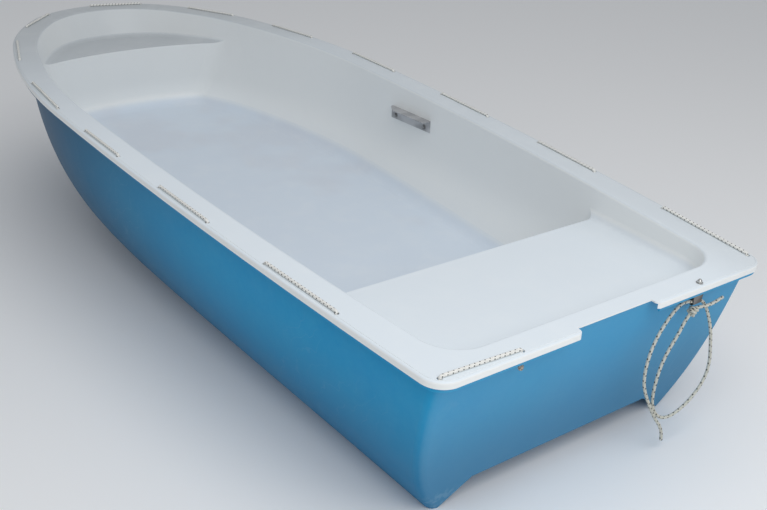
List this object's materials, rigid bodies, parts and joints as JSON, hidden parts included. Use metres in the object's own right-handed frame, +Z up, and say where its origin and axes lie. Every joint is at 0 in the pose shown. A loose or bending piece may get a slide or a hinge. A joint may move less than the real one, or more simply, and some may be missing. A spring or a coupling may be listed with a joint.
{
  "type": "rowing boat",
  "caption": "Open rowing boat with twin runners under a raked hull, a flanged liner with stern and bow seats, and a grab line threaded through the flange.",
  "frame": {"origin": "on the ground under the middle of the boat, without the free painter rope", "axes": "+X towards the bow, +Y to port, +Z up"},
  "size_m": [2.9999, 1.212, 0.6007],
  "materials": {
    "hull_gelcoat": "polished blue gelcoat",
    "liner_gelcoat": "white gelcoat",
    "grab_rope": "white braided rope with dark flecks",
    "painter_rope": "white braided rope with dark flecks",
    "fitting_steel": "polished stainless steel",
    "bracket_metal": "dull aluminium angle"
  },
  "bodies": {
    "root": {"hull_shell": "hull_gelcoat", "deck_liner": "liner_gelcoat", "grab_line": "grab_rope", "grab_knot_port": "grab_rope", "grab_knot_starboard": "grab_rope", "painter_eye": "fitting_steel", "eye_bolt": "fitting_steel", "eye_nut": "fitting_steel", "eye_washer": "fitting_steel", "seat_bracket_port": "bracket_metal", "bracket_bolt_port_aft": "fitting_steel", "bracket_washer_port_aft": "fitting_steel", "bracket_bolt_port_fore": "fitting_steel", "bracket_washer_port_fore": "fitting_steel", "seat_bracket_starboard": "bracket_metal", "bracket_bolt_starboard_aft": "fitting_steel", "bracket_washer_starboard_aft": "fitting_steel", "bracket_bolt_starboard_fore": "fitting_steel", "bracket_washer_starboard_fore": "fitting_steel", "painter_fall": "painter_rope", "painter_loop": "painter_rope", "painter_stub": "painter_rope", "painter_knot": "painter_rope"}
  },
  "joints": []
}
